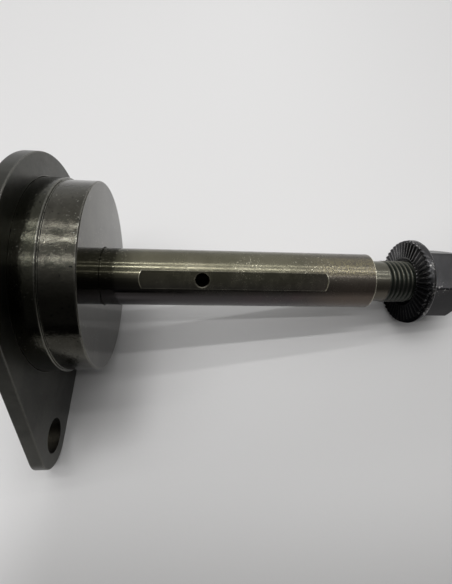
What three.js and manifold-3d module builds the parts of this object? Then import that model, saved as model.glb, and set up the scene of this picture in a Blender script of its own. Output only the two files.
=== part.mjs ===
// Flanged pivot spindle: a bolt-on flange plate with a round register, a drilled and ground
// spindle, and a serrated flange lock nut on the spindle's threaded end.
// Millimetres. +Y runs along the spindle from the flange to the nut. The origin is the centre of
// the flange's rear face. The part lies on the straight side of the flange, which faces -Z.

import * as THREE from "three";
import { mergeGeometries, mergeVertices } from "three/addons/utils/BufferGeometryUtils.js";
import Module from "manifold-3d";

const wasm = await Module();
wasm.setup();

// ---- driving dimensions ----

const SPINDLE_D = 18;
const THREAD_D = 14;
const THREAD_PITCH = 1.5;
const NUT_ACROSS_FLATS = 21;
const RUNNING_GAP = 0.05; // between pieces that are pressed together
const SEAT_GAP = 0.02; // between flat faces that rest on each other

// positions along the spindle, from the flange's rear face
const PLATE_FRONT = 4;
const COLLAR_FRONT = 10.2;
const REGISTER_FRONT = 19.3;
const SHOULDER = 105;
const THREAD_START = 110.5;
const STUD_END = 138;
const NUT_FACE = 118.3;
const FLAT_START = 30.8;
const FLAT_END = 89.1;
const OIL_HOLE_Y = 49.7;

// flange plate
const PLATE_R = 36.4;
const LOBE_REACH = 50.6;
const LOBE_R = 9.8;
const BOLT_HOLE_R = 5.15;
// the straight sides of the flange lean from the lobe's centre line by this angle, so turning the
// lobe down from +X by the same angle lays one of them level
const LOBE_LEAN = Math.asin((PLATE_R - LOBE_R) / LOBE_REACH);

// boss
const COLLAR_R = 29.6;
const REGISTER_R = 29;
const WELD_PREP = 2;
const UNDERCUT = 0.12;
const COLLAR_LIP = 0.2;
const REGISTER_LIP = 0.3;

// spindle
const SPINDLE_R = SPINDLE_D / 2;
const HEAD_R = 11;
const HEAD_DEPTH = 3;
const NECK_R = 6.85;
const THREAD_R = THREAD_D / 2;
const THREAD_DEPTH = 0.61 * THREAD_PITCH;
const OIL_FLAT_DEPTH = 0.42;
const CUTTER_R = 5;
const OIL_HOLE_R = 2.1;
const OIL_HOLE_CHAMFER = 0.25;
const DRILLING_R = 2;
const DRILLING_PAST_HOLE = 4;
const STUD_CHAMFER_LENGTH = 1.4;
const STUD_CHAMFER_DEPTH = 1.2;
const SHOULDER_CHAMFER = 0.25;
const FLAT_FROM_LOBE = THREE.MathUtils.degToRad(83.6);
const FLAT_ANGLE = FLAT_FROM_LOBE - LOBE_LEAN;

// lock nut
const NUT_LENGTH = 16.7;
const NUT_FLANGE_R = 14.2;
const NUT_FACE_R = 13.6;
const NUT_RIM_FROM = 1.8;
const NUT_RIM_TO = 2.5;
const NUT_FLANGE_BACK = 4.6;
const NUT_CHAMFER_LENGTH = 3.3;
const NUT_CHAMFER_DEPTH = 2.33;
const NUT_BORE_R = 7.3;
const SERRATIONS = 46;
const SERRATION_DEPTH = 0.68;
const SERRATION_INNER_R = 8.6;
const HEX_CORNER_R = NUT_ACROSS_FLATS / Math.sqrt(3);
const HEX_CORNER_ANGLE = THREE.MathUtils.degToRad(47);
const RING_R = 9;
const RING_BACK = 12.5;
const RING_LENGTH = 2.8;

// grease nipple
const NIPPLE_THREAD_R = 3;
const NIPPLE_THREAD_LENGTH = 6;
const NIPPLE_HEX_AF = 7;
const NIPPLE_BORE_R = 1.35;
const BALL_R = 1.2;
const BALL_Y = STUD_END + 8.5;
const SPRING_WIRE_R = 0.15;
const SPRING_COILS = 5;

const FINE = 72;
const COARSE = 48;
const SMALL = 24;

// ---- solids ----

// The closed solid of a geometry whose shared vertices are merged.
function solid(geometry) {
  const bare = geometry.clone();
  bare.deleteAttribute("normal");
  bare.deleteAttribute("uv");
  const merged = mergeVertices(bare);
  const index = merged.index.array;
  const kept = [];
  for (let i = 0; i < index.length; i += 3) {
    const [a, b, c] = [index[i], index[i + 1], index[i + 2]];
    if (a !== b && b !== c && c !== a) kept.push(a, b, c);
  }
  return new wasm.Manifold(new wasm.Mesh({
    numProp: 3,
    vertProperties: new Float32Array(merged.attributes.position.array),
    triVerts: new Uint32Array(kept),
  }));
}

// The geometry of a closed solid.
function geometryOf(body) {
  const mesh = body.getMesh();
  const geometry = new THREE.BufferGeometry();
  geometry.setAttribute("position", new THREE.BufferAttribute(mesh.vertProperties, 3));
  geometry.setIndex(new THREE.BufferAttribute(mesh.triVerts, 1));
  const flat = geometry.toNonIndexed();
  flat.computeVertexNormals();
  return flat;
}

// A turned solid about the Y axis; the profile is a list of [radius, y], outside going up.
function turned(profile, segments) {
  return solid(new THREE.LatheGeometry(profile.map(([r, y]) => new THREE.Vector2(r, y)), segments));
}

// A turned ring, whose profile closes on itself.
function turnedRing(profile, segments) {
  return turned([...profile, profile[0]], segments);
}

// A rod along Y from one height to another.
function rod(radius, from, to, segments) {
  return turned([[0, from], [radius, from], [radius, to], [0, to]], segments);
}

function material(color, roughness, metalness) {
  return new THREE.MeshStandardMaterial({ color, roughness, metalness });
}

const darkSteel = material(0x3d3d37, 0.45, 0.9);
const bronzedSteel = material(0x544a34, 0.38, 0.9);
const blackSteel = material(0x2e2e30, 0.5, 0.85);
const weldMetal = material(0x4a4741, 0.6, 0.8);
const zinc = material(0xa8a59a, 0.35, 0.9);
const bearingSteel = material(0xc9c9c6, 0.2, 1);
const nylon = material(0x3f6f9a, 0.6, 0);

function named(name, geometry, finish) {
  const mesh = new THREE.Mesh(geometry, finish);
  mesh.name = name;
  return mesh;
}

// ---- flange plate ----

// The flange's outline: a round hub and a round lobe joined by two straight sides, drawn with the
// lobe along +X. Extruded along Z, it is laid down later.
function flangeOutline() {
  const side = Math.PI / 2 - LOBE_LEAN;
  const shape = new THREE.Shape();
  shape.absarc(0, 0, PLATE_R, side, 2 * Math.PI - side, false);
  shape.absarc(LOBE_REACH, 0, LOBE_R, -side, side, false);
  shape.closePath();
  const hole = new THREE.Path();
  hole.absarc(LOBE_REACH, 0, BOLT_HOLE_R, 0, 2 * Math.PI, true);
  shape.holes.push(hole);
  return shape;
}

function mountingPlate() {
  const blank = new THREE.ExtrudeGeometry(flangeOutline(), {
    depth: PLATE_FRONT,
    bevelEnabled: false,
    curveSegments: COARSE,
  });
  // outline X stays X, outline Y goes to -Z, depth goes to +Y; then the lobe drops below +X
  const laid = blank.rotateX(-Math.PI / 2).rotateY(LOBE_LEAN);
  const boreR = COLLAR_R + RUNNING_GAP;
  const prepR = boreR + WELD_PREP;
  const bore = turned([
    [0, -1], [prepR + 1, -1], [boreR, WELD_PREP], [boreR, PLATE_FRONT + 1], [0, PLATE_FRONT + 1],
  ], FINE);
  return named("mounting_plate", geometryOf(solid(laid).subtract(bore)), darkSteel);
}

// ---- boss ----

function hubBoss() {
  const bore = SPINDLE_R + RUNNING_GAP;
  const counterbore = HEAD_R + RUNNING_GAP;
  const headSeat = HEAD_DEPTH + SEAT_GAP;
  const boreChamfer = 0.4;
  const profile = [
    [counterbore, 0],
    [COLLAR_R - WELD_PREP, 0],
    [COLLAR_R, WELD_PREP],
    [COLLAR_R, COLLAR_FRONT - COLLAR_LIP],
    [COLLAR_R - COLLAR_LIP, COLLAR_FRONT],
    [REGISTER_R - UNDERCUT, COLLAR_FRONT],
    [REGISTER_R - UNDERCUT, COLLAR_FRONT + COLLAR_LIP],
    [REGISTER_R, COLLAR_FRONT + 2 * COLLAR_LIP],
    [REGISTER_R, REGISTER_FRONT - REGISTER_LIP],
    [REGISTER_R - REGISTER_LIP, REGISTER_FRONT],
    [bore + boreChamfer, REGISTER_FRONT],
    [bore, REGISTER_FRONT - boreChamfer],
    [bore, headSeat],
    [counterbore, headSeat],
  ];
  return named("hub_boss", geometryOf(turnedRing(profile, FINE)), darkSteel);
}

// The weld that fills the groove between the boss and the plate around it, ground flush.
function rearWeld() {
  const wallGap = 0.15;
  const middle = COLLAR_R + RUNNING_GAP / 2;
  const reach = WELD_PREP - wallGap;
  const profile = [[middle - reach, SEAT_GAP], [middle + reach, SEAT_GAP], [middle, reach]];
  return named("rear_weld", geometryOf(turnedRing(profile, FINE)), weldMetal);
}

// ---- spindle ----

// The stud's rings between its neck and its end chamfer, one for each pitch of the thread.
function threadProfile() {
  const points = [];
  const root = THREAD_R - THREAD_DEPTH;
  const crest = THREAD_PITCH / 8;
  const first = THREAD_START + 1;
  const turns = Math.floor((STUD_END - STUD_CHAMFER_LENGTH - first) / THREAD_PITCH);
  for (let i = 0; i < turns; i += 1) {
    const y = first + i * THREAD_PITCH;
    points.push([THREAD_R, y], [root, y + THREAD_PITCH / 2 - crest / 2]);
    points.push([root, y + THREAD_PITCH / 2 + crest / 2], [THREAD_R, y + THREAD_PITCH - crest]);
  }
  return points;
}

function spindleBlank() {
  return turned([
    [0, 0],
    [HEAD_R, 0],
    [HEAD_R, HEAD_DEPTH],
    [SPINDLE_R, HEAD_DEPTH],
    [SPINDLE_R, SHOULDER - SHOULDER_CHAMFER],
    [SPINDLE_R - SHOULDER_CHAMFER, SHOULDER],
    [NECK_R, SHOULDER],
    [NECK_R, THREAD_START],
    ...threadProfile(),
    [THREAD_R, STUD_END - STUD_CHAMFER_LENGTH],
    [THREAD_R - STUD_CHAMFER_DEPTH, STUD_END],
    [0, STUD_END],
  ], COARSE);
}

// The end mill's path for the oil flat: a slab with round ends, its floor flat, cut from outside.
function flatCutter() {
  const floor = SPINDLE_R - OIL_FLAT_DEPTH;
  const shape = new THREE.Shape();
  shape.absarc(0, FLAT_START + CUTTER_R, CUTTER_R, Math.PI, 2 * Math.PI, false);
  shape.absarc(0, FLAT_END - CUTTER_R, CUTTER_R, 0, Math.PI, false);
  shape.closePath();
  const slab = new THREE.ExtrudeGeometry(shape, {
    depth: 3,
    bevelEnabled: false,
    curveSegments: SMALL,
  });
  // drawn in XY with its depth along +Z; turned about Y so that +Z points along the flat's normal
  return solid(slab.translate(0, 0, floor).rotateY(Math.PI / 2 - FLAT_ANGLE));
}

function oilHoleCutter() {
  const chamfer = OIL_HOLE_CHAMFER;
  const top = SPINDLE_R - OIL_FLAT_DEPTH;
  const drill = new THREE.LatheGeometry([
    new THREE.Vector2(0, 0),
    new THREE.Vector2(OIL_HOLE_R, 0),
    new THREE.Vector2(OIL_HOLE_R, top - chamfer),
    new THREE.Vector2(OIL_HOLE_R + 2 * chamfer, top + chamfer),
    new THREE.Vector2(0, top + chamfer),
  ], SMALL);
  // lathe axis Y to +X, then up from +X by the flat's angle
  return solid(drill.rotateZ(-Math.PI / 2).rotateY(-FLAT_ANGLE).translate(0, OIL_HOLE_Y, 0));
}

function spindle() {
  const drilling = rod(DRILLING_R, OIL_HOLE_Y - DRILLING_PAST_HOLE, STUD_END + 1, SMALL);
  const tappedFrom = STUD_END - NIPPLE_THREAD_LENGTH - 1;
  const tapped = rod(NIPPLE_THREAD_R + RUNNING_GAP * 2, tappedFrom, STUD_END + 1, SMALL);
  const body = spindleBlank()
    .subtract(flatCutter())
    .subtract(oilHoleCutter())
    .subtract(drilling)
    .subtract(tapped);
  return named("spindle", geometryOf(body), bronzedSteel);
}

// ---- lock nut ----

// One radial V-groove of the serrated face, along +X.
function serrationCutter() {
  const widthShare = 0.86; // of the space between two grooves, at the rim
  const halfWidth = Math.tan(Math.PI / SERRATIONS) * NUT_FLANGE_R * widthShare;
  const shape = new THREE.Shape();
  shape.moveTo(-halfWidth, -SERRATION_DEPTH);
  shape.lineTo(halfWidth, -SERRATION_DEPTH);
  shape.lineTo(0, SERRATION_DEPTH);
  shape.closePath();
  const groove = new THREE.ExtrudeGeometry(shape, {
    depth: NUT_FLANGE_R - SERRATION_INNER_R,
    bevelEnabled: false,
  });
  return groove.rotateY(Math.PI / 2).translate(SERRATION_INNER_R, NUT_FACE, 0);
}

// The nut's round flange; its bore is cut to size later.
function nutFlange() {
  const bore = NUT_BORE_R - 0.5;
  const relief = 0.3;
  const rimChamfer = 0.8;
  return turnedRing([
    [bore, NUT_FACE + relief],
    [NUT_BORE_R + 0.6, NUT_FACE + relief],
    [SERRATION_INNER_R, NUT_FACE],
    [NUT_FACE_R, NUT_FACE],
    [NUT_FLANGE_R - 0.3, NUT_FACE + NUT_RIM_FROM / 2],
    [NUT_FLANGE_R, NUT_FACE + NUT_RIM_FROM],
    [NUT_FLANGE_R, NUT_FACE + NUT_RIM_TO],
    [NUT_FLANGE_R - rimChamfer, NUT_FACE + NUT_RIM_TO + rimChamfer],
    [HEX_CORNER_R - 0.4, NUT_FACE + NUT_FLANGE_BACK],
    [bore, NUT_FACE + NUT_FLANGE_BACK],
  ], FINE);
}

// The nut's hexagon, with its far corners chamfered by a cone.
function nutHex() {
  const from = 2; // inside the flange, behind the serrated face
  const length = NUT_LENGTH - from;
  const prism = new THREE.CylinderGeometry(HEX_CORNER_R, HEX_CORNER_R, length, 6)
    .rotateY(Math.PI / 2 - HEX_CORNER_ANGLE)
    .translate(0, NUT_FACE + from + length / 2, 0);
  const end = NUT_FACE + NUT_LENGTH;
  const perRadius = NUT_CHAMFER_LENGTH / NUT_CHAMFER_DEPTH;
  const envelope = turned([
    [0, NUT_FACE + 1],
    [HEX_CORNER_R + 1, NUT_FACE + 1],
    [HEX_CORNER_R + 1, end - NUT_CHAMFER_LENGTH - perRadius],
    [HEX_CORNER_R - NUT_CHAMFER_DEPTH, end],
    [0, end],
  ], FINE);
  return solid(prism).intersect(envelope);
}

function flangeNut() {
  const end = NUT_FACE + NUT_LENGTH;
  const ringFrom = NUT_FACE + RING_BACK;
  const ringTo = ringFrom + RING_LENGTH;
  const bore = turned([
    [0, NUT_FACE - 1],
    [NUT_BORE_R + 1.2, NUT_FACE - 1],
    [NUT_BORE_R, NUT_FACE + 0.6],
    [NUT_BORE_R, ringFrom - SEAT_GAP],
    [RING_R + RUNNING_GAP, ringFrom - SEAT_GAP],
    [RING_R + RUNNING_GAP, ringTo + SEAT_GAP],
    [NUT_BORE_R + 0.5, ringTo + SEAT_GAP],
    [NUT_BORE_R + 0.5, end + 1],
    [0, end + 1],
  ], COARSE);
  const groove = serrationCutter();
  const grooves = Array.from({ length: SERRATIONS }, (_, i) =>
    solid(groove.clone().rotateY((2 * Math.PI * i) / SERRATIONS)));
  let body = nutFlange().add(nutHex()).subtract(bore);
  for (const cut of grooves) body = body.subtract(cut);
  return named("flange_nut", geometryOf(body), blackSteel);
}

// The nylon ring that the nut's end is rolled over, which grips the thread.
function nutLockRing() {
  const from = NUT_FACE + RING_BACK;
  const to = from + RING_LENGTH;
  const profile = [[NUT_BORE_R, from], [RING_R, from], [RING_R, to], [NUT_BORE_R, to]];
  return named("nut_lock_ring", geometryOf(turnedRing(profile, COARSE)), nylon);
}

// ---- grease nipple ----

function greaseNipple() {
  const foot = STUD_END - NIPPLE_THREAD_LENGTH;
  const hexFrom = STUD_END + SEAT_GAP;
  const hexLength = 3;
  const mouth = STUD_END + 10;
  const neckR = 1.9;
  const headR = 3.2;
  const turnedBody = turned([
    [0, foot], [NIPPLE_THREAD_R - 0.4, foot], [NIPPLE_THREAD_R, foot + 0.4],
    [NIPPLE_THREAD_R, STUD_END - 0.2], [2.6, STUD_END - 0.2], [2.6, hexFrom + hexLength],
    [neckR + 0.6, hexFrom + hexLength + 0.6], [neckR, mouth - 4.6], [neckR, mouth - 3.6],
    [headR, mouth - 2.2], [headR, mouth - 1.6], [neckR, mouth], [0, mouth],
  ], SMALL);
  const hex = new THREE.CylinderGeometry(NIPPLE_HEX_AF / Math.sqrt(3),
    NIPPLE_HEX_AF / Math.sqrt(3), hexLength, 6).translate(0, hexFrom + hexLength / 2, 0);
  const seatR = 0.8;
  const bore = turned([
    [0, foot - 1], [NIPPLE_BORE_R, foot - 1], [NIPPLE_BORE_R, BALL_Y],
    [seatR, mouth - 0.35], [seatR, mouth + 1], [0, mouth + 1],
  ], SMALL);
  const body = turnedBody.add(solid(hex)).subtract(bore);
  return named("grease_nipple", geometryOf(body), zinc);
}

function nippleBall() {
  const ball = new THREE.SphereGeometry(BALL_R, SMALL, 12);
  ball.translate(0, BALL_Y, 0);
  return named("nipple_ball", geometryOf(solid(ball)), bearingSteel);
}

// The ball's return spring: a helix of round wire.
class Helix extends THREE.Curve {
  constructor(radius, from, to, coils) {
    super();
    Object.assign(this, { radius, from, to, coils });
  }

  getPoint(t, target = new THREE.Vector3()) {
    const turn = 2 * Math.PI * this.coils * t;
    return target.set(this.radius * Math.cos(turn), this.from + (this.to - this.from) * t,
      this.radius * Math.sin(turn));
  }
}

function nippleSpring() {
  const wire = new THREE.Shape();
  wire.absarc(0, 0, SPRING_WIRE_R, 0, 2 * Math.PI, false);
  const top = BALL_Y - BALL_R - SPRING_WIRE_R - 0.1;
  const path = new Helix(NIPPLE_BORE_R - SPRING_WIRE_R - 0.15, STUD_END + 2, top, SPRING_COILS);
  const coil = new THREE.ExtrudeGeometry(wire, {
    steps: SPRING_COILS * 14,
    extrudePath: path,
    curveSegments: 3,
    bevelEnabled: false,
  });
  return named("nipple_spring", geometryOf(solid(coil)), bearingSteel);
}

// ---- assembly ----

const part = new THREE.Group();
part.add(
  mountingPlate(),
  hubBoss(),
  rearWeld(),
  spindle(),
  flangeNut(),
  nutLockRing(),
  greaseNipple(),
  nippleBall(),
  nippleSpring(),
);

export default part;
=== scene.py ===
"""Looks of the flanged pivot spindle: fine meshes and worn steel finishes over the CAD frame.

Row frame in metres: +Y runs along the spindle from the flange to the nut, and +Z is up as the part
lies on the flange's straight side. The origin is the centre of the flange's rear face.
"""

import math

import bmesh
import bpy
from mathutils import Matrix, Vector

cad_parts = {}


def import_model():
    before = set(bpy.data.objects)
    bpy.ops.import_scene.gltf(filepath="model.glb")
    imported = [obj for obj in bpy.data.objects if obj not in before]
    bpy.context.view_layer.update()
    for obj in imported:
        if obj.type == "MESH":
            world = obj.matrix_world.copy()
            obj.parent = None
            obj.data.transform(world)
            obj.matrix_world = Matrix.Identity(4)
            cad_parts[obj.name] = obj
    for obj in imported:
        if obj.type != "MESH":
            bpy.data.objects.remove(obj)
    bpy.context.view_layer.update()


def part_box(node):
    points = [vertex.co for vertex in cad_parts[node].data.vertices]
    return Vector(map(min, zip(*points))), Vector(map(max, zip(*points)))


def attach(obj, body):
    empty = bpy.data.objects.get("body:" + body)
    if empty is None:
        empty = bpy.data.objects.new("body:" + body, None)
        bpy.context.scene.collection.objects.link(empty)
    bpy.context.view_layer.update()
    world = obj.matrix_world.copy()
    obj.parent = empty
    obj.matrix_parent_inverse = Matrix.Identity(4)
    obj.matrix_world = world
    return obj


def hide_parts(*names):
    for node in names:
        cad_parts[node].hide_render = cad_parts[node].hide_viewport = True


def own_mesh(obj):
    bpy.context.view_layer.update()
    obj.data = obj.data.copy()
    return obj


MM = 0.001
MICRON = 0.000001
TURN = 2 * math.pi

# ---- sizes, in millimetres, as the CAD has them ----
PLATE_THICKNESS = 4
PLATE_R = 36.4
LOBE_REACH = 50.6
LOBE_R = 9.8
BOLT_HOLE_R = 5.15
COLLAR_R = 29.6
COLLAR_FRONT = 10.2
REGISTER_R = 29
REGISTER_FRONT = 19.3
UNDERCUT = 0.12
GAP = 0.05
WELD_PREP = 2
SPINDLE_R = 9
HEAD_R = 11
HEAD_DEPTH = 3
SHOULDER = 105
NECK_R = 6.85
THREAD_START = 110.5
THREAD_R = 7
PITCH = 1.5
STUD_END = 138
FLAT_START = 30.8
FLAT_END = 89.1
FLAT_DEPTH = 0.42
CUTTER_R = 5
OIL_HOLE_Y = 49.7
OIL_HOLE_R = 2.1
DRILLING_R = 2
TAPPING_R = 3.1
NUT_FACE = 118.3
NUT_END = 135
NUT_FLANGE_R = 14.2
NUT_BORE_R = 7.3
NUT_CORNER_R = 21 / math.sqrt(3)
RING_FROM = 130.8
RING_TO = 133.6
RING_R = 9
SERRATIONS = 46
NIPPLE_BORE_R = 1.35
BALL_R = 1.2
BALL_Y = STUD_END + 8.5
SPRING_FOOT = STUD_END + 2
SPRING_TOP = BALL_Y - BALL_R - 0.25

# ---- directions about the spindle, from +Z towards +X ----
LOBE_LEAN = math.asin((PLATE_R - LOBE_R) / LOBE_REACH)
LOBE_TURN = math.pi / 2 + LOBE_LEAN
FLAT_TURN = math.radians(38.1)
NUT_CORNER_TURN = math.radians(43)
AXIS = (0, 1, 0)
# the spindle's underside, painted darker as shade
UNDERSIDE = (0.9, 0, -0.42)
# the side of the nut's serrated face that gets painted shade
SHADED_FACE_SIDE = (0.89, 0, -0.465)

# ---- colours ----
RUBBED_STEEL = (0.42, 0.41, 0.37, 1)
PITTED_STEEL = (0.01, 0.01, 0.01, 1)


# ---- meshes ----


def add_object(name, mesh):
    obj = bpy.data.objects.new(name, mesh)
    bpy.context.scene.collection.objects.link(obj)
    return obj


def around(radius, y, turn):
    """The point at that radius and height, turned about the spindle from +Z towards +X."""
    return Vector((radius * math.sin(turn), y, radius * math.cos(turn))) * MM


def bridge(bm, low, high):
    """The faces between two rings of as many vertices."""
    for i in range(len(low)):
        k = (i + 1) % len(low)
        bm.faces.new((low[i], low[k], high[k], high[i]))


def shell(name, bm):
    """Makes bm an object, with its faces pointing out."""
    bmesh.ops.recalc_face_normals(bm, faces=bm.faces)
    mesh = bpy.data.meshes.new(name)
    bm.to_mesh(mesh)
    bm.free()
    return add_object(name, mesh)


def skin(name, rows, closed=False):
    """A closed surface through rows of points that each go round the spindle. An open stack of rows
    is closed by a point on the axis at each end; a closed one joins its last row to its first."""
    bm = bmesh.new()
    loops = [[bm.verts.new(p) for p in row] for row in rows]
    pairs = list(zip(loops, loops[1:]))
    if closed:
        pairs.append((loops[-1], loops[0]))
    for low, high in pairs:
        bridge(bm, low, high)
    if not closed:
        for loop in (loops[0], loops[-1]):
            count = len(loop)
            middle = bm.verts.new(sum((v.co for v in loop), Vector()) / count)
            for i in range(count):
                bm.faces.new((loop[i], loop[(i + 1) % count], middle))
    return shell(name, bm)


def rounded(profile, radius, closed=False, steps=3):
    """A profile of (radius, y) points, with its corners rounded to that radius."""
    points = [Vector(p) for p in profile]
    result = []
    for i, corner in enumerate(points):
        if not closed and i in (0, len(points) - 1):
            result.append(corner)
            continue
        before = points[i - 1] - corner
        after = points[(i + 1) % len(points)] - corner
        bend = before.angle(after, math.pi)
        reach = min(radius / math.tan(bend / 2), before.length * 0.45, after.length * 0.45)
        start = corner + before.normalized() * reach
        end = corner + after.normalized() * reach
        for s in range(steps + 1):
            t = s / steps
            result.append(start * (1 - t) ** 2 + corner * 2 * t * (1 - t) + end * t ** 2)
    return result


def turns_of(segments, start=0):
    """The directions of that many points once round the spindle."""
    return [start + TURN * i / segments for i in range(segments)]


def turned(name, profile, segments=192, closed=False):
    """A turned piece from its profile of (radius, y) points."""
    turns = turns_of(segments)
    rows = [[around(r, y, t) for t in turns] for r, y in profile]
    return skin(name, rows, closed)


def finish_mesh(obj, sharp=30):
    """Smooth shading with crisp edges, flat faces staying flat."""
    obj.data.shade_smooth()
    obj.data.set_sharp_from_angle(angle=math.radians(sharp))
    even = obj.modifiers.new("even_normals", "WEIGHTED_NORMAL")
    even.keep_sharp = True
    even.weight = 90
    return obj


def cut(obj, *cutters):
    """Cuts the cutters from obj, and removes them."""
    for cutter in cutters:
        difference = obj.modifiers.new("cut", "BOOLEAN")
        difference.operation = "DIFFERENCE"
        difference.solver = "EXACT"
        difference.object = cutter
    bpy.context.view_layer.update()
    graph = bpy.context.evaluated_depsgraph_get()
    mesh = bpy.data.meshes.new_from_object(obj.evaluated_get(graph))
    obj.modifiers.clear()
    obj.data = mesh
    for cutter in cutters:
        bpy.data.objects.remove(cutter)
    return obj


# ---- the flange plate ----


def flange_outline(inset, points=36):
    """The flange's outline, drawn inwards by inset, as points (towards the lobe, across it)."""
    side = math.pi / 2 - LOBE_LEAN
    disc = PLATE_R - inset
    lobe = LOBE_R - inset
    outline = []
    for i in range(4 * points + 1):
        turn = side + (TURN - 2 * side) * i / (4 * points)
        outline.append((disc * math.cos(turn), disc * math.sin(turn)))
    for i in range(points + 1):
        turn = -side + 2 * side * i / points
        outline.append((LOBE_REACH + lobe * math.cos(turn), lobe * math.sin(turn)))
    return outline


def circle_outline(centre, radius, points):
    return [(centre + radius * math.cos(t), radius * math.sin(t)) for t in turns_of(points)]


def edge_profile(radius, steps=3):
    """(inset, y) down the plate's thickness, with rounded corners."""
    profile = []
    for s in range(steps + 1):
        a = math.pi / 2 * s / steps
        profile.append((radius * (1 - math.sin(a)), radius * (1 - math.cos(a))))
    return profile + [(inset, PLATE_THICKNESS - y) for inset, y in reversed(profile)]


def plate_wall(bm, outline_at, radius):
    """The wall through the plate along an outline; returns its rear and front rims."""
    loops = []
    for inset, y in edge_profile(radius):
        loop = []
        for a, b in outline_at(inset):
            across = Vector((a, b)).length
            turn = LOBE_TURN + math.atan2(b, a)
            loop.append(bm.verts.new(around(across, y, turn)))
        loops.append(loop)
    for low, high in zip(loops, loops[1:]):
        bridge(bm, low, high)
    return loops[0], loops[-1]


def paint_bolt_hole(plate, finish):
    """The wall of the bolt hole gets its own finish, a near-black one that is painted shade inside the
    hole.
    """
    plate.data.materials.append(finish)
    centre = around(LOBE_REACH, 0, LOBE_TURN)
    for face in plate.data.polygons:
        offset = face.center - centre
        if math.hypot(offset.x, offset.z) < (BOLT_HOLE_R + 0.25) * MM:
            face.material_index = 1


def rim_edges(bm, loop):
    """The edges along a closed ring of vertices."""
    return [bm.edges.get((loop[i], loop[(i + 1) % len(loop)])) for i in range(len(loop))]


def make_plate():
    outer_edge, hole_edge, bore_edge = 0.3, 0.2, 0.1
    bm = bmesh.new()
    walls = [
        plate_wall(bm, flange_outline, outer_edge),
        plate_wall(bm, lambda inset: circle_outline(LOBE_REACH, BOLT_HOLE_R + inset, 64), hole_edge),
        plate_wall(bm, lambda inset: circle_outline(0, COLLAR_R + GAP + inset, 144), bore_edge),
    ]
    for end in (0, 1):
        edges = [e for wall in walls for e in rim_edges(bm, wall[end])]
        bmesh.ops.triangle_fill(bm, edges=edges, use_beauty=True)
    return finish_mesh(shell("plate", bm), 60)


# ---- the boss and its weld ----


def make_boss():
    bore = SPINDLE_R + GAP
    counterbore = HEAD_R + GAP
    root = REGISTER_R - UNDERCUT
    profile = [
        (counterbore, 0),
        (COLLAR_R - WELD_PREP, 0),
        (COLLAR_R, WELD_PREP),
        (COLLAR_R, COLLAR_FRONT - 0.2),
        (COLLAR_R - 0.2, COLLAR_FRONT),
        (root, COLLAR_FRONT),
        (root, COLLAR_FRONT + 0.2),
        (REGISTER_R, COLLAR_FRONT + 0.4),
        (REGISTER_R, REGISTER_FRONT - 0.3),
        (REGISTER_R - 0.3, REGISTER_FRONT),
        (bore + 0.4, REGISTER_FRONT),
        (bore, REGISTER_FRONT - 0.4),
        (bore, HEAD_DEPTH),
        (counterbore, HEAD_DEPTH),
    ]
    return finish_mesh(turned("boss", rounded(profile, 0.1, True), 256, True), 40)


def make_weld():
    """A bead in the groove round the boss, with the ripples of its passes."""
    turns = turns_of(480)
    ripples = 96
    steps = 12
    middle = COLLAR_R + GAP / 2
    reach = WELD_PREP - 0.1
    rows = []
    for s in range(steps + 1):
        a = math.pi * s / steps
        row = []
        for turn in turns:
            ripple = abs(math.sin(turn * ripples / 2 + 0.9 * math.sin(a)))
            hollow = (0.15 + 0.072 * ripple) * (1 - math.sin(a))
            row.append(around(middle - reach * math.cos(a), 0.05 + hollow, turn))
        rows.append(row)
    for side in (1, -1):
        rows.append([around(middle + side * reach * 0.1, reach, turn) for turn in turns])
    return finish_mesh(skin("weld", rows, True), 50)


def paint_below(obj, height, finish):
    """The faces of obj that lie behind that height get their own finish."""
    obj.data.materials.append(finish)
    for face in obj.data.polygons:
        if face.center.y < height * MM:
            face.material_index = 1


# ---- the spindle ----


def thread_depth(y, turn):
    """How far the surface lies below the thread's crest, in millimetres."""
    depth = 0.61 * PITCH
    flat = 0.12
    phase = ((y - THREAD_START) / PITCH - turn / TURN) % 1
    ridge = max(0, min(1, (abs(phase - 0.5) * 2 - flat) / (1 - 2 * flat)))
    run_in = min(1, max(0, (y - THREAD_START) / (0.5 * PITCH)))
    run_out = min(1, max(0, (STUD_END - 0.9 - y) / PITCH))
    return depth * (1 - ridge) * run_in * run_out


def stud_rows(turns):
    """Rows of points along the threaded end, sixteen to each turn of the thread."""
    rows = []
    spacing = PITCH / 16
    chamfer_start = STUD_END - 1.3
    count = round((STUD_END - THREAD_START) / spacing)
    for k in range(1, count + 1):
        y = THREAD_START + k * spacing
        chamfer = max(0, y - chamfer_start) * 0.9
        rows.append([around(THREAD_R - max(chamfer, thread_depth(y, t)), y, t) for t in turns])
    return rows


def end_mill():
    """The cutter's sweep that leaves the oil flat: a slab with round ends."""
    floor = SPINDLE_R - FLAT_DEPTH
    top = SPINDLE_R + 2
    steps = 32
    outline = []
    for start, centre in ((0, FLAT_END - CUTTER_R), (math.pi, FLAT_START + CUTTER_R)):
        for i in range(steps + 1):
            a = start + math.pi * i / steps
            outline.append((CUTTER_R * math.cos(a), centre + CUTTER_R * math.sin(a)))
    bm = bmesh.new()
    low = [bm.verts.new(Vector((x, y, floor)) * MM) for x, y in outline]
    high = [bm.verts.new(Vector((x, y, top)) * MM) for x, y in outline]
    bridge(bm, low, high)
    bm.faces.new(reversed(low))
    bm.faces.new(high)
    bm.transform(Matrix.Rotation(FLAT_TURN, 4, "Y"))
    return shell("end_mill", bm)


def oil_drill():
    """The drill for the cross hole, with its countersink, laid along the flat's direction."""
    top = SPINDLE_R - FLAT_DEPTH
    shank = OIL_HOLE_R + 0.6
    profile = [(OIL_HOLE_R, 0), (OIL_HOLE_R, top - 0.25), (shank, top + 0.35), (shank, top + 3)]
    drill = turned("oil_drill", profile, 64)
    stand = Matrix.Rotation(math.pi / 2, 4, "X")
    aim = Matrix.Rotation(FLAT_TURN, 4, "Y")
    drill.data.transform(Matrix.Translation((0, OIL_HOLE_Y * MM, 0)) @ aim @ stand)
    return drill


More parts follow.
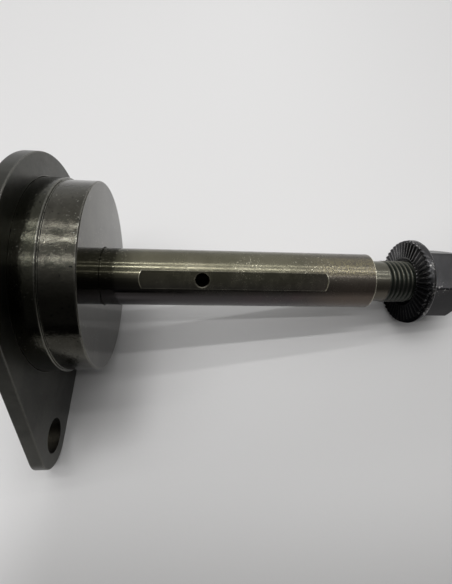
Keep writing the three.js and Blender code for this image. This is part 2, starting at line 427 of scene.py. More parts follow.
def make_spindle():
    turns = turns_of(224)
    profile = rounded([
        (HEAD_R - 0.5, 0),
        (HEAD_R, 0.5),
        (HEAD_R, HEAD_DEPTH),
        (SPINDLE_R, HEAD_DEPTH),
        (SPINDLE_R, SHOULDER - 0.25),
        (SPINDLE_R - 0.25, SHOULDER),
        (NECK_R, SHOULDER),
        (NECK_R, THREAD_START - 0.2),
        (THREAD_R, THREAD_START),
    ], 0.1)
    rows = [[around(r, y, t) for t in turns] for r, y in profile] + stud_rows(turns)
    spindle = skin("spindle_steel", rows)
    drilling = turned("drilling", [(DRILLING_R, OIL_HOLE_Y - 4), (DRILLING_R, STUD_END - 7)], 48)
    mouth_r = TAPPING_R + 0.7
    tapping = turned("tapping", [
        (TAPPING_R, STUD_END - 7.2),
        (TAPPING_R, STUD_END - 0.4),
        (mouth_r, STUD_END + 0.3),
        (mouth_r, STUD_END + 1),
    ], 64)
    spindle = finish_mesh(cut(spindle, end_mill(), oil_drill(), drilling, tapping), 30)
    smooth_thread(spindle.data)
    return spindle


def smooth_thread(mesh):
    """Takes the crisp edges off the thread's flanks, which the grid crosses at a slant."""
    start = (THREAD_START + 0.3) * MM
    below_root = 5.8 * MM
    sharp = mesh.attributes["sharp_edge"].data
    for edge in mesh.edges:
        ends = [mesh.vertices[i].co for i in edge.vertices]
        if all(v.y > start and math.hypot(v.x, v.z) > below_root for v in ends):
            sharp[edge.index].value = False


def in_a_hole(centre):
    """True for a point on the wall of the oil hole or of the drilling along the spindle."""
    side = Vector((math.cos(FLAT_TURN), 0, -math.sin(FLAT_TURN)))
    offset = centre - Vector((0, OIL_HOLE_Y * MM, 0))
    from_hole = math.hypot(offset.y, offset.dot(side))
    from_axis = math.hypot(centre.x, centre.z)
    deep = from_axis < (SPINDLE_R - FLAT_DEPTH - 0.3) * MM
    in_oil_hole = deep and from_hole < (OIL_HOLE_R + 0.1) * MM
    in_drilling = from_axis < (TAPPING_R + 0.2) * MM and centre.y > FLAT_START * MM
    return in_oil_hole or in_drilling


def paint_spindle(obj, hole_shade_finish, end_finish):
    """The walls of the spindle's holes get a near-black finish, painted shade inside the holes, and its
    neck and thread get a finish of their own.
    """
    obj.data.materials.append(hole_shade_finish)
    obj.data.materials.append(end_finish)
    for face in obj.data.polygons:
        if in_a_hole(face.center):
            face.material_index = 1
        elif face.center.y > (SHOULDER + 0.01) * MM:
            face.material_index = 2


# ---- the nut ----


def hexagon(corner_radius, turn, corner_turn, blunt=0.0):
    """The radius of a hexagon in a direction, with its corners blunted."""
    sixth = math.pi / 3
    off = (turn - corner_turn) % sixth - sixth / 2
    return min(corner_radius - blunt, corner_radius * math.cos(sixth / 2) / math.cos(off))


def serration(turn, depth):
    """How deep the nut's serrated face is cut in a direction, at a place where they have that depth."""
    phase = (turn - NUT_CORNER_TURN) * SERRATIONS / TURN % 1
    return depth * min(1, max(0, 1.15 - abs(phase - 0.5) * 2 / 0.72))


def flange_rows(turns):
    """The nut's serrated face, its rim and the back of its flange."""
    profile = [
        (8.1, 0.2, 0), (8.3, 0.05, 0.1), (8.7, 0, 0.55), (10, 0, 0.62), (11, 0, 0.66), (12, 0, 0.68),
        (13.2, 0.02, 0.68), (13.6, 0.12, 0.6), (13.85, 0.4, 0.4), (14, 0.8, 0.22), (14.1, 1.3, 0.06),
        (NUT_FLANGE_R, 1.8, 0), (NUT_FLANGE_R, 2.5, 0), (14, 2.9, 0), (13.4, 3.3, 0),
    ]
    rows = []
    for r, lift, depth in profile:
        row = []
        for t in turns:
            groove = serration(t, depth)
            row.append(around(r - 0.25 * groove, NUT_FACE + lift + groove, t))
        rows.append(row)
    return rows


def hexagon_rows(turns):
    """The cone from the nut's flange to its hexagon, the hexagon, and the chamfer on its corners."""
    wide, narrow = 13, 10.4
    chamfer, chamfer_height = 2.33, 3.3
    sides = [(t, hexagon(NUT_CORNER_R, t, NUT_CORNER_TURN, 0.12)) for t in turns]
    rows = []
    steps = 9
    for s in range(steps + 1):
        cone = wide + (narrow - wide) * s / steps
        y = NUT_FACE + 3.45 + 1.1 * (s / steps) ** 0.8
        rows.append([around(max(cone, side), y, t) for t, side in sides])
    for lift in (6, 9, 11.5):
        rows.append([around(side, NUT_FACE + lift, t) for t, side in sides])
    steps = 21
    for s in range(steps + 1):
        y = NUT_END - 4.2 + 4.15 * s / steps
        cone = NUT_CORNER_R - chamfer + (NUT_END - y) * chamfer / chamfer_height
        rows.append([around(min(cone, side), y, t) for t, side in sides])
    return rows


def nut_bore_rows(turns):
    """The nut's top, the lip rolled over its lock ring, the ring's groove and the bore."""
    groove_r = RING_R + GAP
    lip_r = 7.8
    play = 0.02
    profile = [
        (9.6, NUT_END),
        (8.2, NUT_END),
        (7.9, NUT_END - 0.2),
        (lip_r, NUT_END - 0.5),
        (lip_r, RING_TO + play),
        (groove_r, RING_TO + play),
        (groove_r, RING_FROM - play),
        (NUT_BORE_R, RING_FROM - play),
        (NUT_BORE_R, NUT_FACE + 0.6),
    ]
    return [[around(r, y, t) for t in turns] for r, y in profile]


def make_nut():
    turns = turns_of(SERRATIONS * 12, NUT_CORNER_TURN)
    rows = flange_rows(turns) + hexagon_rows(turns) + nut_bore_rows(turns)
    return finish_mesh(skin("nut_steel", rows, True), 35)


def make_lock_ring():
    profile = [(NUT_BORE_R, RING_FROM), (RING_R, RING_FROM), (RING_R, RING_TO), (NUT_BORE_R, RING_TO)]
    return finish_mesh(turned("lock_ring", rounded(profile, 0.25, True, 4), 96, True), 50)


# ---- the grease nipple ----


def make_nipple():
    """The nipple's body: its threaded shank, its hexagon, its neck and its head with the ball's seat."""
    turns = turns_of(96)
    foot = STUD_END - 6
    mouth = STUD_END + 10
    corner = 7 / math.sqrt(3)
    shank = [
        (2.6, foot), (3, foot + 0.4), (3, STUD_END - 0.2), (2.6, STUD_END - 0.2), (2.6, STUD_END + 0.02),
    ]
    head = [
        (3.3, STUD_END + 3.02), (2.5, STUD_END + 3.1), (1.9, mouth - 5), (1.9, mouth - 3.7),
        (3.15, mouth - 2.3), (3.15, mouth - 1.7), (1.9, mouth - 0.02), (0.9, mouth),
        (0.8, mouth - 0.35), (1.2, BALL_Y + 0.6), (NIPPLE_BORE_R, BALL_Y), (NIPPLE_BORE_R, foot),
    ]

    def hex_row(radius, y):
        return [around(min(radius, hexagon(corner, t, 0, 0.08)), y, t) for t in turns]

    rows = [[around(r, y, t) for t in turns] for r, y in rounded(shank, 0.1)]
    for s in range(6):
        rows.append(hex_row(3.4 + 0.13 * s, STUD_END + 0.03 + 0.06 * s))
    for s in range(6):
        rows.append(hex_row(4.05 - 0.13 * s, STUD_END + 2.6 + 0.08 * s))
    rows += [[around(r, y, t) for t in turns] for r, y in rounded(head, 0.15)]
    return finish_mesh(skin("nipple_body", rows, True), 35)


def make_ball():
    steps = 24
    profile = []
    for s in range(1, steps):
        a = math.pi * s / steps
        profile.append((BALL_R * math.sin(a), BALL_Y - BALL_R * math.cos(a)))
    return finish_mesh(turned("ball", profile, 48), 60)


def make_spring():
    """The ball's return spring: round wire wound about the spindle's axis."""
    wire_r = 0.15
    coil_r = NIPPLE_BORE_R - wire_r - 0.15
    coils = 5
    steps = coils * 32
    bm = bmesh.new()
    loops = []
    for k in range(steps + 1):
        turn = TURN * coils * k / steps
        y = SPRING_FOOT + (SPRING_TOP - SPRING_FOOT) * k / steps
        loop = []
        for a in turns_of(10):
            place = around(coil_r + wire_r * math.cos(a), y + wire_r * math.sin(a), turn)
            loop.append(bm.verts.new(place))
        loops.append(loop)
    for low, high in zip(loops, loops[1:]):
        bridge(bm, low, high)
    bm.faces.new(loops[0])
    bm.faces.new(loops[-1])
    return finish_mesh(shell("spring_wire", bm), 60)


# ---- finishes ----


class Nodes:
    """Builds a material's nodes with few words."""

    def __init__(self, name):
        self.material = bpy.data.materials.new(name)
        self.material.use_nodes = True
        self.tree = self.material.node_tree
        self.shader = self.tree.nodes["Principled BSDF"]
        self.place = self.add("ShaderNodeTexCoord").outputs["Object"]

    def add(self, kind, inputs=None, **settings):
        node = self.tree.nodes.new(kind)
        for key, value in settings.items():
            setattr(node, key, value)
        for key, value in (inputs or {}).items():
            self.put(node.inputs[key], value)
        return node

    def put(self, socket, value):
        if isinstance(value, bpy.types.NodeSocket):
            self.tree.links.new(value, socket)
        else:
            socket.default_value = value

    def math(self, operation, a, b=0.0):
        node = self.add("ShaderNodeMath", operation=operation)
        self.put(node.inputs[0], a)
        self.put(node.inputs[1], b)
        return node.outputs[0]

    def chain(self, operation, values):
        """The values taken together, one after another."""
        result = values[0]
        for value in values[1:]:
            result = self.math(operation, result, value)
        return result

    def times(self, *values):
        return self.chain("MULTIPLY", values)

    def plus(self, *values):
        return self.chain("ADD", values)

    def most(self, *values):
        return self.chain("MAXIMUM", values)

    def length(self, *values):
        """The root of the sum of the values' squares."""
        return self.math("SQRT", self.plus(*[self.times(value, value) for value in values]))

    def ramp(self, value, low, high, to_low=0.0, to_high=1.0):
        """value from low to high, spread smoothly over to_low to to_high."""
        node = self.add("ShaderNodeMapRange", interpolation_type="SMOOTHSTEP")
        for socket, number in zip(node.inputs, (value, low, high, to_low, to_high)):
            self.put(socket, number)
        return node.outputs[0]

    def blend(self, amount, a, b):
        """Colour a turning to colour b as amount goes from 0 to 1; the node's colour sockets share
        their names with others, so they are taken by number."""
        node = self.add("ShaderNodeMix", data_type="RGBA")
        self.put(node.inputs[0], amount)
        self.put(node.inputs[6], a)
        self.put(node.inputs[7], b)
        return node.outputs[2]

    def noise(self, scale, detail=4.0, roughness=0.55, distortion=0.0, place=None):
        node = self.add("ShaderNodeTexNoise", {
            "Vector": place or self.place, "Scale": scale, "Detail": detail, "Roughness": roughness,
            "Distortion": distortion,
        })
        return node.outputs[0]

    def lathe_marks(self, scale):
        """Fine turning marks: noise that changes only with the radius and the height."""
        place = self.add("ShaderNodeCombineXYZ", {"X": self.from_axis(), "Y": self.along(AXIS)})
        return self.noise(scale, 5.0, 0.6, place=place.outputs[0])

    def specks(self, scale, spread, density):
        """Small specks, in loose swarms."""
        return self.times(self.ramp(self.noise(scale, 2.0, 0.5), 0.65, 0.7),
                          self.ramp(self.noise(spread), density, density + 0.12))

    def along(self, direction):
        """How far the place lies along a direction from the frame's origin."""
        node = self.add("ShaderNodeVectorMath", operation="DOT_PRODUCT")
        self.put(node.inputs[0], self.place)
        self.put(node.inputs[1], direction)
        return node.outputs["Value"]

    def from_axis(self):
        """The distance from the spindle's axis."""
        return self.length(self.along((1, 0, 0)), self.along((0, 0, 1)))

    def near(self, point, reach):
        """1 at a point, fading to 0 at that reach from it."""
        node = self.add("ShaderNodeVectorMath", operation="DISTANCE")
        self.put(node.inputs[0], self.place)
        self.put(node.inputs[1], point)
        return self.ramp(node.outputs["Value"], reach, reach * 0.4)

    def line_at(self, value, middle, width):
        """1 where value is at middle, 0 further off than the width."""
        off = self.math("ABSOLUTE", self.math("SUBTRACT", value, middle))
        return self.ramp(off, width, width * 0.4)

    def worn_edges(self, radius):
        """1 along the piece's sharp edges, 0 on its faces."""
        flush, rubbed = 0.99, 0.88
        soft = self.add("ShaderNodeBevel", {"Radius": radius}, samples=4).outputs[0]
        hard = self.add("ShaderNodeNewGeometry").outputs["Normal"]
        match = self.add("ShaderNodeVectorMath", operation="DOT_PRODUCT")
        self.put(match.inputs[0], soft)
        self.put(match.inputs[1], hard)
        return self.ramp(match.outputs["Value"], flush, rubbed)

    def bump(self, *layers):
        """Bumps of (height, depth in microns), one over the other."""
        normal = None
        for height, depth in layers:
            node = self.add("ShaderNodeBump", {
                "Height": height, "Distance": depth * MICRON, "Strength": 1.0,
            })
            if normal is not None:
                self.put(node.inputs["Normal"], normal)
            normal = node.outputs[0]
        self.put(self.shader.inputs["Normal"], normal)

    def finish(self, color, roughness, metallic, glint=(1, 1, 1, 1)):
        """The finished material; glint tints what it reflects at a grazing angle."""
        self.put(self.shader.inputs["Base Color"], color)
        self.put(self.shader.inputs["Roughness"], roughness)
        self.put(self.shader.inputs["Metallic"], metallic)
        self.put(self.shader.inputs["Specular Tint"], glint)
        return self.material


def oxide_skin(n, dark, light):
    """The mottled colour of an oxide coat."""
    mottle = n.noise(70.0, 6.0, 0.62, distortion=0.4)
    smudge = n.noise(22.0, 3.0)
    oxide = n.blend(n.ramp(mottle, 0.36, 0.66), dark, light)
    return n.blend(n.ramp(smudge, 0.5, 0.68, 0.0, 0.45), oxide, light)


def steel(name, dark, light, roughness, bare=RUBBED_STEEL, marks=2500.0, waves=20, turning=6, ripple=0,
          face=None):
    """Blackened steel: mottled oxide, a slightly uneven skin, turning marks and rubbed edges. A ripple
    adds patches of small waves, rubbed specks and dark pits. The turned face that starts at the height
    face has a mirror finish. The depths of waves, turning marks and ripples are in microns."""
    n = Nodes(name)
    swell = n.noise(260.0, 2.0, 0.5)
    uneven = n.noise(1500.0, 3.0, 0.6)
    fine = n.noise(2600.0, 3.0, 0.6)
    rub = n.noise(420.0, 4.0, 0.65)
    mottle = n.noise(70.0, 6.0, 0.62)
    shown = n.times(n.worn_edges(0.0006), n.ramp(rub, 0.26, 0.5, 0.325, 0.65))
    oxide = oxide_skin(n, dark, light)
    if ripple:
        shown = n.most(shown, n.times(n.specks(2000.0, 90.0, 0.46), 0.7))
    color = n.blend(shown, oxide, bare)
    if ripple:
        color = n.blend(n.specks(1400.0, 150.0, 0.4), color, PITTED_STEEL)
    rough = n.plus(n.ramp(mottle, 0.3, 0.7, roughness - 0.03, roughness + 0.05),
                   n.ramp(fine, 0.3, 0.7, -0.03, 0.03))
    if face is not None:
        off_face = n.ramp(n.along(AXIS), (face - 0.02) * MM, face * MM, 1.0, 0.0)
        rough = n.times(rough, n.ramp(off_face, 0.0, 1.0, 0.5, 1.0))
        swell = n.times(swell, n.ramp(off_face, 0.0, 1.0, 0.1, 1.0))
        uneven = n.times(uneven, off_face)
    layers = [(swell, waves), (n.lathe_marks(marks), turning), (fine, 1.5)]
    if ripple:
        layers.append((n.times(uneven, n.ramp(rub, 0.42, 0.62)), ripple))
    n.bump(*layers)
    return n.finish(color, rough, 1.0)


def plate_steel():
    return steel("plate_steel_look", (0.047, 0.047, 0.041, 1), (0.077, 0.076, 0.067, 1), 0.34,
                 bare=(0.34, 0.33, 0.3, 1), marks=900.0)


def boss_steel():
    return steel("dark_steel_look", (0.047, 0.045, 0.037, 1), (0.078, 0.075, 0.062, 1), 0.14,
                 waves=25, turning=2.5, ripple=30, face=REGISTER_FRONT)


def collar_steel():
    return steel("collar_steel_look", (0.037, 0.037, 0.028, 1), (0.06, 0.059, 0.046, 1), 0.14,
                 waves=25, ripple=30)


def flat_outline(n):
    """1 along the edge of the spindle's oil flat."""
    across = n.math("ABSOLUTE", n.along((math.cos(FLAT_TURN), 0, -math.sin(FLAT_TURN))))
    middle = (FLAT_START + FLAT_END) / 2 * MM
    straight = ((FLAT_END - FLAT_START) / 2 - CUTTER_R) * MM
    from_middle = n.math("ABSOLUTE", n.math("SUBTRACT", n.along(AXIS), middle))
    past = n.most(n.math("SUBTRACT", from_middle, straight), 0.0)
    half = math.sqrt(SPINDLE_R ** 2 - (SPINDLE_R - FLAT_DEPTH) ** 2) * MM
    ends = n.line_at(n.length(across, past), CUTTER_R * MM, 0.00016)
    ends = n.times(ends, n.ramp(across, half + 0.00015, half))
    sides = n.times(n.line_at(across, half, 0.0001), n.ramp(past, 0.0043, 0.004), 0.6)
    facing = n.along((math.sin(FLAT_TURN), 0, math.cos(FLAT_TURN)))
    return n.times(n.most(ends, sides), n.ramp(facing, 0.0, 0.001))


def browned_skin(n, height, lower):
    """The browned colour: olive above, redder below and towards the shoulder. Painted shade darkens it next
    to the boss, all along its underside and, by the shoulder, on its near side.
    """
    shoulder = n.ramp(height, 0.075, 0.097)
    olive = oxide_skin(n, (0.115, 0.109, 0.077, 1), (0.155, 0.147, 0.107, 1))
    # painted shade next to the boss
    olive = n.blend(n.ramp(height, 0.033, 0.024), olive, (0.052, 0.05, 0.035, 1))
    upper = n.blend(shoulder, olive, (0.112, 0.101, 0.084, 1))
    # painted shade on the near side by the shoulder
    near_side_shade = n.times(shoulder, n.ramp(n.along((0.9, 0, 0.42)), 0.0045, 0.007))
    upper = n.blend(near_side_shade, upper, (0.092, 0.08, 0.066, 1))
    # the underside colour, darker than the top: painted shade
    shaded_underside = n.blend(shoulder, (0.06, 0.055, 0.056, 1), (0.11, 0.086, 0.07, 1))
    tint = n.ramp(n.noise(45.0, 3.0, 0.5), 0.45, 0.6, 0.0, 0.6)
    tint = n.times(tint, n.ramp(height, 0.055, 0.085), lower)
    return n.blend(tint, n.blend(lower, upper, shaded_underside), (0.1, 0.062, 0.064, 1))


def browned_steel():
    """The spindle's ground body: browned, rougher away from the boss and rubbed bright along its edges. By
    its shoulder a golden grain is painted on the top, along the band where the highlight falls, so it is
    partly a painted sheen."""
    n = Nodes("bronzed_steel_look")
    height = n.along(AXIS)
    lower = n.ramp(n.along(UNDERSIDE), 0.0, 0.0075)
    grain = n.noise(2600.0, 2.0, 0.6)
    # golden grain on the top by the shoulder, laid where the highlight falls: partly painted sheen
    patch = n.times(n.ramp(n.along((0.035, 0, 0.999)), 0.0081, 0.0088), n.ramp(height, 0.08, 0.092))
    golden_sheen = n.times(patch, n.ramp(grain, 0.36, 0.72), 0.5)
    color = n.blend(golden_sheen, browned_skin(n, height, lower), (0.42, 0.37, 0.2, 1))
    speck = n.times(n.specks(2300.0, 75.0, 0.46), n.ramp(lower, 0.0, 0.5, 1.0, 0.15))
    rim = n.times(n.ramp(height, (SHOULDER - 0.55) * MM, (SHOULDER - 0.4) * MM),
                  n.ramp(n.from_axis(), 0.0082, 0.0086))
    rub = n.ramp(n.noise(420.0, 4.0, 0.65), 0.3, 0.56, 0.25, 0.85)
    lines = n.times(n.most(n.worn_edges(0.0003), flat_outline(n), rim), rub)
    color = n.blend(n.most(speck, lines), color, (0.6, 0.57, 0.46, 1))
    patchy = n.ramp(n.noise(330.0, 4.0, 0.6), 0.42, 0.62, 0.0, 0.09)
    rough = n.plus(n.ramp(height, 0.026, 0.045, 0.12, 0.18),
                   n.times(patchy, n.ramp(height, 0.02, 0.045)),
                   n.ramp(n.noise(2600.0, 3.0), 0.3, 0.7, -0.03, 0.03))
    n.bump((n.noise(260.0, 2.0, 0.5), 8), (n.lathe_marks(2500.0), 6), (grain, 2))
    return n.finish(color, rough, n.ramp(height, 0.075, 0.097, 1.0, 0.74))


def turned_end():
    """The neck and the thread: greenish grey steel, bright on the crests and dark in the grooves. The dark
    grooves, and the darker underside of the neck and of the crests, are painted shade.
    """
    n = Nodes("threaded_end_look")
    threaded = n.ramp(n.along(AXIS), (THREAD_START - 0.1) * MM, (THREAD_START + 0.1) * MM)
    # the underside, where the neck and the crests are darkened as painted shade
    lower = n.ramp(n.along(UNDERSIDE), -0.001, 0.003)
    crest = n.ramp(n.from_axis(), 0.00665, 0.00692)
    mottle = n.ramp(n.noise(160.0, 5.0, 0.6), 0.35, 0.65)
    neck = n.blend(mottle, (0.105, 0.101, 0.08, 1), (0.14, 0.136, 0.108, 1))
    neck = n.blend(lower, neck, (0.1, 0.088, 0.07, 1))
    crests = n.blend(lower, (0.135, 0.132, 0.105, 1), (0.065, 0.064, 0.058, 1))
    # dark grooves: painted shade
    thread = n.blend(crest, (0.05, 0.056, 0.047, 1), crests)
    fine = n.noise(2600.0, 3.0)
    rough = n.plus(n.ramp(threaded, 0.0, 1.0, 0.2, 0.3), n.ramp(fine, 0.3, 0.7, -0.03, 0.05))
    n.bump((n.lathe_marks(2500.0), 8), (fine, 3))
    return n.finish(n.blend(threaded, neck, thread), rough, 0.8)


def blackened_nut():
    """The nut's black oxide, scuffed to bare metal along its rim and at the corner by the flange. The lower
    part of its serrated face, which the spindle shades, is painted near black, rougher and with dimmed
    reflections: painted shade."""
    n = Nodes("black_steel_look")
    grain = n.noise(1500.0, 4.0, 0.65)
    worn = n.ramp(n.noise(240.0, 3.0, 0.6), 0.44, 0.58)
    rim = n.times(n.ramp(n.from_axis(), 0.0129, 0.0136), n.ramp(grain, 0.52, 0.6), worn)
    scuff = n.near(around(NUT_CORNER_R, NUT_FACE + 6.5, NUT_CORNER_TURN), 0.0034)
    scuff = n.times(scuff, n.ramp(grain, 0.6, 0.66))
    edges = n.times(n.worn_edges(0.0004), n.ramp(grain, 0.3, 0.55, 0.2, 0.7))
    # painted shade on the lower part of the serrated face, which the spindle shades
    shaded_face = n.times(n.ramp(n.along(SHADED_FACE_SIDE), -0.0012, 0.0025),
                     n.ramp(n.along(AXIS), (NUT_FACE + 2) * MM, (NUT_FACE + 1.2) * MM))
    oxide = oxide_skin(n, (0.04, 0.04, 0.041, 1), (0.066, 0.064, 0.066, 1))
    oxide = n.blend(shaded_face, oxide, (0.008, 0.008, 0.009, 1))
    bare = n.times(n.most(rim, scuff, edges), n.ramp(shaded_face, 0.0, 1.0, 1.0, 0.15))
    color = n.blend(bare, oxide, (0.42, 0.41, 0.4, 1))
    rough = n.plus(n.ramp(n.noise(2600.0, 3.0), 0.3, 0.7, 0.29, 0.37), n.times(shaded_face, 0.35))
    n.bump((n.noise(260.0, 2.0), 20), (grain, 6))
    return n.finish(color, rough, 1.0, n.blend(shaded_face, (1, 1, 1, 1), (0.12, 0.12, 0.12, 1)))


def plain_metal(name, dark, light, roughness):
    """Evenly mottled metal."""
    n = Nodes(name)
    mottle = n.noise(300.0, 4.0)
    fine = n.noise(2200.0, 3.0)
    color = n.blend(n.ramp(mottle, 0.35, 0.65), dark, light)
    rough = n.ramp(fine, 0.3, 0.7, roughness - 0.05, roughness + 0.08)
    n.bump((fine, 4))
    return n.finish(color, rough, 1.0)


def nylon():
    n = Nodes("nylon_look")
    mottle = n.noise(500.0, 4.0)
    color = n.blend(n.ramp(mottle, 0.35, 0.65), (0.05, 0.13, 0.25, 1), (0.08, 0.18, 0.31, 1))
    n.bump((mottle, 10))
    return n.finish(color, n.ramp(mottle, 0.3, 0.7, 0.4, 0.55), 0.0)


def tabletop():
    """A pale matt tabletop with painted shade in its colour: darker at its front, in its near corner and, a
    little, past the nut, with a painted shadow of the boss beside it."""
    n = Nodes("tabletop")
    grain = n.noise(900.0, 3.0)
    height = n.along(AXIS)
    across = n.along((1, 0, 0))
    # Painted shade: the near corner, the end past the nut and the front are darkened, and a shadow of the
    # boss is painted beside it.
    corner = n.times(n.ramp(n.along((1, 0.3, 0)), 0.0, 0.085, 0.0, 0.33), n.ramp(height, -0.03, 0.01))
    nut_end_shade = n.ramp(height, 0.07, 0.26, 0.0, 0.12)
    boss_shadow = n.times(n.ramp(height, 0.038, 0.02), n.ramp(height, -0.012, 0.004),
                      n.line_at(across, 0.016, 0.038), 0.36)
    front = n.ramp(across, 0.055, 0.115, 0.0, 0.42)
    cloud = n.ramp(n.noise(1.4, 2.0), 0.3, 0.7)
    color = n.blend(cloud, (0.81, 0.802, 0.798, 1), (0.84, 0.833, 0.83, 1))
    # the painted shade and the boss's painted shadow darken the colour
    color = n.blend(n.plus(corner, nut_end_shade, boss_shadow, front), color, (0.1, 0.098, 0.096, 1))
    n.bump((grain, 20))
    return n.finish(color, n.ramp(grain, 0.3, 0.7, 0.5, 0.6), 0.0)


# ---- the set ----


def make_table():
    """The tabletop, through the flange's lower front edge and the nut's rim, so it slopes up."""
    plate_low, plate_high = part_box("mounting_plate")
    nut_low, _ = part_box("flange_nut")
    rim_y = nut_low.y + 2.5 * MM
    slope = math.atan((nut_low.z - plate_low.z) / (rim_y - plate_high.y))
    cells = 12
    half_width = 6
    bm = bmesh.new()
    bmesh.ops.create_grid(bm, x_segments=cells, y_segments=cells, size=half_width)
    bm.transform(Matrix.Rotation(slope, 4, "X"))
    bm.transform(Matrix.Translation((0, plate_high.y, plate_low.z)))
    mesh = bpy.data.meshes.new("tabletop")
    bm.to_mesh(mesh)
    bm.free()
    table = add_object("tabletop", mesh)
    table.data.materials.append(tabletop())
    return table


def add_reflected_shade_sheet():
    """A dark sheet over the table's near side, where the viewer stands; only reflections show it, as
    painted shade of the viewer's side.
    """
    plate_low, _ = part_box("mounting_plate")
    start, end, half_width = 0.17, 3.0, 3.0
    z = plate_low.z + 0.008
    corners = [(start, -half_width, z), (end, -half_width, z), (end, half_width, z), (start, half_width, z)]
    mesh = bpy.data.meshes.new("reflected_shade_sheet")
    mesh.from_pydata(corners, [], [(0, 1, 2, 3)])
    mesh.materials.append(plain_metal("reflected_shade_look", (0.01, 0.01, 0.01, 1), (0.015, 0.015, 0.015, 1), 0.9))
    shade_sheet = add_object("reflected_shade_sheet", mesh)
    shade_sheet.visible_camera = False
    shade_sheet.visible_diffuse = False
    shade_sheet.visible_shadow = False
    return shade_sheet


def add_tube(turn, power, start, end):
    """A ceiling tube parallel to the spindle from the height start to end, turned about it from +Z
    towards +X. Its power is given for each metre of it."""
    above = 1.7
    width = 0.055
    data = bpy.data.lights.new("tube", "AREA")
    data.shape = "RECTANGLE"
    data.size = width
    data.size_y = end - start
    data.energy = power * (end - start)
    lamp = bpy.data.objects.new("tube", data)
    bpy.context.scene.collection.objects.link(lamp)
    middle = Matrix.Translation((0, (start + end) / 2, 0))
    lamp.matrix_world = middle @ Matrix.Rotation(turn, 4, "Y") @ Matrix.Translation((0, 0, above))
    return lamp


def add_tubes():
    """Three tubes, each dimmer past the room's middle."""
    near_end, middle, far_end = -1.4, 0.2, 1.5
    dimming = 0.6
    for degrees, power in [(16, 2.0), (-6.8, 3.3), (-22.5, 2.0)]:
        turn = math.radians(degrees)
        add_tube(turn, power, near_end, middle)
        add_tube(turn, power * dimming, middle, far_end)


def set_world():
    """A room whose ceiling is bright over the part and its far side, and dark where the viewer
    stands. Its brightness is given by the direction about the spindle, from +Z towards +X. Past the
    table's end the viewer sees a plain pale backdrop."""
    brightness = [
        (-90, 0.75), (-55, 0.85), (-12, 0.95), (10, 0.75), (20, 0.55), (32, 0.33), (44, 0.13), (60, 0.07),
        (90, 0.05),
    ]
    end_dimming = 0.8
    pale = (0.62, 0.62, 0.615, 1)
    world = bpy.data.worlds.new("room")
    bpy.context.scene.world = world
    world.use_nodes = True
    tree = world.node_tree

    def calculate(operation, *values):
        node = tree.nodes.new("ShaderNodeMath")
        node.operation = operation
        for socket, value in zip(node.inputs, values):
            if isinstance(value, bpy.types.NodeSocket):
                tree.links.new(value, socket)
            else:
                socket.default_value = value
        return node.outputs[0]

    split = tree.nodes.new("ShaderNodeSeparateXYZ")
    tree.links.new(tree.nodes.new("ShaderNodeTexCoord").outputs["Generated"], split.inputs[0])
    turn = calculate("ARCTAN2", split.outputs[0], split.outputs[2])
    ramp = tree.nodes.new("ShaderNodeValToRGB")
    tree.links.new(calculate("MULTIPLY_ADD", turn, 1 / math.pi, 0.5), ramp.inputs[0])
    ramp.color_ramp.interpolation = "EASE"
    stops = ramp.color_ramp.elements
    while len(stops) < len(brightness):
        stops.new(0.5)
    for stop, (degrees, value) in zip(stops, brightness):
        stop.position = degrees / 180 + 0.5
        stop.color = (value, value, value, 1)
    endwise = calculate("MULTIPLY", split.outputs[1], split.outputs[1])
    strength = calculate("MULTIPLY_ADD", endwise, -end_dimming, 1.0)
    room = tree.nodes["Background"]
    tree.links.new(ramp.outputs[0], room.inputs["Color"])
    tree.links.new(strength, room.inputs["Strength"])
    backdrop = tree.nodes.new("ShaderNodeBackground")
    backdrop.inputs["Color"].default_value = pale
    choice = tree.nodes.new("ShaderNodeMixShader")
    tree.links.new(tree.nodes.new("ShaderNodeLightPath").outputs["Is Camera Ray"], choice.inputs[0])
    tree.links.new(room.outputs[0], choice.inputs[1])
    tree.links.new(backdrop.outputs[0], choice.inputs[2])
    tree.links.new(choice.outputs[0], tree.nodes["World Output"].inputs["Surface"])


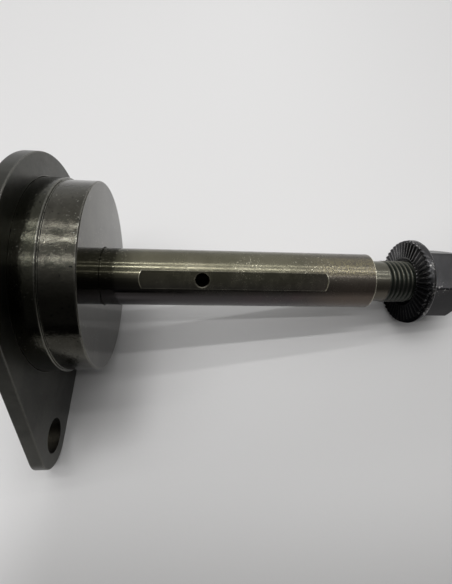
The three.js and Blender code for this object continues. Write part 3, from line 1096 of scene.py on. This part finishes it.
def add_camera():
    """The camera looks down at the spindle from the side, close and wide."""
    data = bpy.data.cameras.new("camera")
    data.lens = 21.71
    data.sensor_width = 36
    data.clip_start = 0.001
    camera = bpy.data.objects.new("camera", data)
    bpy.context.scene.collection.objects.link(camera)
    distance = 115.39 * MM
    middle = 47 * MM
    lean = math.radians(33.3)
    yaw, pitch, roll = -0.09307, -0.03868, -0.01821
    right = Vector((0, 1, 0))
    up = Vector((-math.cos(lean), 0, math.sin(lean)))
    back = Vector((math.sin(lean), 0, math.cos(lean)))
    facing = Matrix((right, up, back)).transposed().to_4x4()
    aim = Matrix.Rotation(yaw, 4, "Y") @ Matrix.Rotation(pitch, 4, "X") @ Matrix.Rotation(-roll, 4, "Z")
    place = Vector((0, middle, 0)) + back * distance
    camera.matrix_world = Matrix.Translation(place) @ facing @ aim
    bpy.context.scene.camera = camera


# ---- assembly ----


def dress(obj, finish, body, slot, *nodes):
    """Gives obj its finish, and puts it on its body in place of the CAD nodes."""
    obj.data.materials.clear()
    obj.data.materials.append(finish)
    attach(obj, body)
    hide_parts(*nodes)


def dress_pieces():
    """Makes each piece, with its finish, on its body."""
    root = "flange_and_spindle"
    # near-black metal for the hole walls: painted shade inside the holes
    hole_shade = plain_metal("hole_shade_look", (0.01, 0.009, 0.007, 1), (0.02, 0.018, 0.014, 1), 0.5)
    bead = plain_metal("weld_look", (0.1, 0.095, 0.085, 1), (0.2, 0.18, 0.15, 1), 0.42)
    zinc = plain_metal("zinc_look", (0.42, 0.4, 0.35, 1), (0.6, 0.58, 0.52, 1), 0.28)
    bright = plain_metal("bearing_look", (0.6, 0.6, 0.6, 1), (0.72, 0.72, 0.71, 1), 0.15)

    plate = make_plate()
    dress(plate, plate_steel(), root, "dark_steel", "mounting_plate")
    paint_bolt_hole(plate, hole_shade)
    boss = make_boss()
    dress(boss, boss_steel(), root, "dark_steel", "hub_boss")
    paint_below(boss, COLLAR_FRONT + 0.1, collar_steel())
    dress(make_weld(), bead, root, "weld_metal", "rear_weld")
    spindle = make_spindle()
    dress(spindle, browned_steel(), root, "bronzed_steel", "spindle")
    paint_spindle(spindle, hole_shade, turned_end())
    dress(make_nut(), blackened_nut(), "nut", "black_steel", "flange_nut")
    dress(make_lock_ring(), nylon(), "nut_carrier", "nylon", "nut_lock_ring")
    dress(make_nipple(), zinc, root, "zinc_plate", "grease_nipple")
    dress(make_ball(), bright, "valve_ball", "bearing_steel", "nipple_ball")
    spring = make_spring()
    dress(spring, bright, root, "bearing_steel", "nipple_spring")
    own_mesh(spring)


def main():
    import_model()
    dress_pieces()
    make_table()
    add_reflected_shade_sheet()
    add_tubes()
    set_world()
    add_camera()
    bpy.context.scene.view_settings.view_transform = "Standard"


main()
